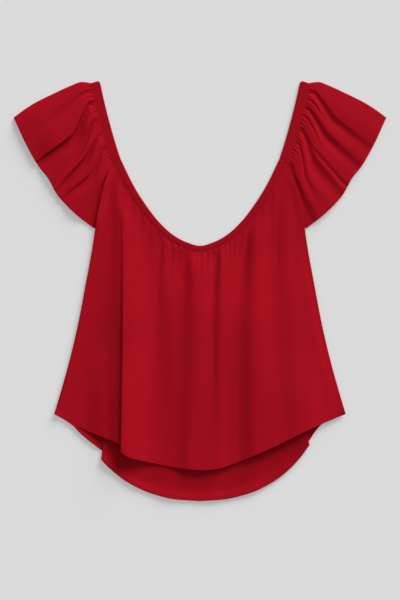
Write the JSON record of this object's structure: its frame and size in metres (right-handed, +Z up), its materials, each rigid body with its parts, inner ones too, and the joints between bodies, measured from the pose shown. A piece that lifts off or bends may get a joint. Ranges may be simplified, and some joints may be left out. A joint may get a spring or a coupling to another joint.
{
  "type": "ruffle-strap top, laid flat",
  "caption": "Flared sleeveless top with a scooped neck and gathered ruffles along the straps, laid flat with the front up.",
  "frame": {"origin": "on the surface the top lies on, under the middle of its outline", "axes": "+X towards the wearer's left, +Y from the hems to the shoulders, +Z up off the surface"},
  "size_m": [0.7076, 0.797, 0.0263],
  "materials": {
    "red_crepe": "matt woven cloth",
    "red_binding": "matt woven cloth, folded and stitched"
  },
  "bodies": {
    "root": {"front_panel": "red_crepe", "back_panel": "red_crepe", "ruffle_left": "red_crepe", "ruffle_right": "red_crepe", "strap_left": "red_binding", "strap_right": "red_binding", "front_binding": "red_binding", "back_binding": "red_binding"}
  },
  "joints": []
}
